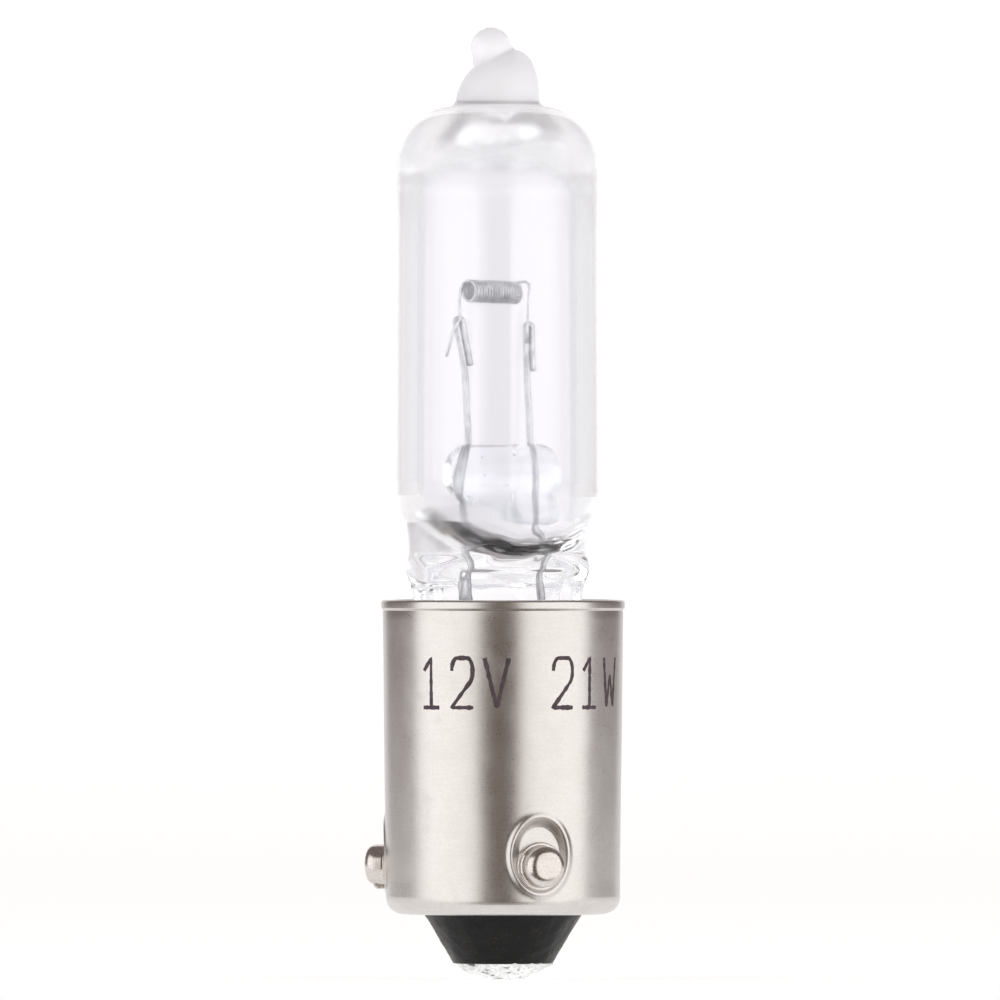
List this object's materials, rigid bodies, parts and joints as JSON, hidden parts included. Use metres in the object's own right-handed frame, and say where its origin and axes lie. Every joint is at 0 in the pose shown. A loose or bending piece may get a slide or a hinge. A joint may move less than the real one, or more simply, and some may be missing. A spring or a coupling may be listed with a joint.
{
  "type": "halogen signal bulb",
  "caption": "Small tubular halogen signal lamp with a coiled filament on bridged support wires, pressed glass seal, bayonet cap with offset pins and a soldered end contact.",
  "frame": {"origin": "on the cap's axis, in the plane of the bayonet pins' centres (the lamp's reference plane)", "axes": "+Z along the cap's axis towards the glass tip; -Y is the side with the front pin, 18.7 degrees round from it towards +X; the side pin is towards -X"},
  "size_m": [0.0098, 0.0097, 0.0359],
  "materials": {
    "nickel_shell": "satin nickel plating on drawn brass, warm tint, fine grain",
    "nickel_pin": "bright nickel plating, turned nose",
    "black_insulator": "black satin glass-like compound",
    "eyelet_brass": "plain brass",
    "solder": "dull tin solder with a grainy, slightly lumpy skin",
    "clear_glass": "clear hard glass, polished",
    "bead_glass": "clear glass rod with small bubbles",
    "support_wire": "grey drawn molybdenum wire",
    "tungsten": "dark grey drawn tungsten wire",
    "weld": "rough weld metal",
    "outer_lead": "drawn nickel wire",
    "cement": "matt brown basing cement"
  },
  "bodies": {
    "root": {"cap_shell": "nickel_shell", "bayonet_pin_front": "nickel_pin", "bayonet_pin_side": "nickel_pin", "insulator": "black_insulator", "contact_eyelet": "eyelet_brass", "contact_solder": "solder", "glass_envelope": "clear_glass", "exhaust_tip": "clear_glass", "bridge_bead": "bead_glass", "support_wire_left": "support_wire", "support_wire_right": "support_wire", "filament_coil": "tungsten", "lead_weld_left": "weld", "lead_weld_right": "weld", "contact_lead": "outer_lead", "shell_lead": "outer_lead", "shell_weld": "weld", "base_cement": "cement"}
  },
  "joints": []
}
